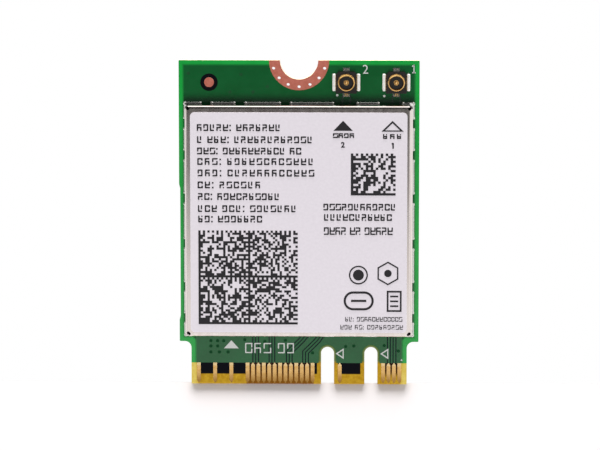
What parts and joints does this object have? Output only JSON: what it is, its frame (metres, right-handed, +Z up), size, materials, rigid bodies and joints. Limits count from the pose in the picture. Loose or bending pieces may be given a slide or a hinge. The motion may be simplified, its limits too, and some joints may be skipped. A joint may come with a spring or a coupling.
{
  "type": "wireless network card",
  "caption": "Small keyed edge wireless card lying flat: green board, folded metal shield with a label, gold edge contacts, half round screw notch and micro coaxial antenna jacks.",
  "frame": {"origin": "centre of the board outline, on the surface the card lies on", "axes": "+X to the right with the label up, +Y from the gold contacts to the screw notch, +Z up through the label"},
  "size_m": [0.022, 0.03, 0.0023],
  "materials": {
    "fr4_laminate": "satin, edges sawn",
    "solder_mask": "semi gloss",
    "gold_plating": "satin",
    "bare_copper": "matt",
    "white_ink": "matt",
    "nickel_silver": "satin",
    "solder": "bright",
    "label_film": "matt",
    "black_ink": "matt",
    "black_resin": "matt",
    "mould_compound": "matt",
    "component_ceramic": "matt",
    "ferrite": "matt"
  },
  "bodies": {
    "root": {"laminate": "fr4_laminate", "solder_mask_top": "solder_mask", "solder_mask_bottom": "solder_mask", "edge_contacts_top": "gold_plating", "edge_contacts_bottom": "gold_plating", "screw_notch_plating": "bare_copper", "fiducial_dot": "bare_copper", "silk_marks": "white_ink", "shield_can": "nickel_silver", "shield_solder": "solder", "label": "label_film", "label_print": "black_ink", "jack_1_base": "black_resin", "jack_1_ring": "gold_plating", "jack_1_pin": "gold_plating", "jack_2_base": "black_resin", "jack_2_ring": "gold_plating", "jack_2_pin": "gold_plating", "jack_solder": "solder", "radio_chip": "mould_compound", "chip_lands": "solder", "front_end_modules": "mould_compound", "module_lands": "solder", "crystal_case": "component_ceramic", "crystal_lid": "nickel_silver", "power_inductors": "ferrite", "inductor_ends": "solder", "capacitors": "component_ceramic", "capacitor_ends": "solder", "resistors": "mould_compound", "resistor_ends": "solder"}
  },
  "joints": []
}
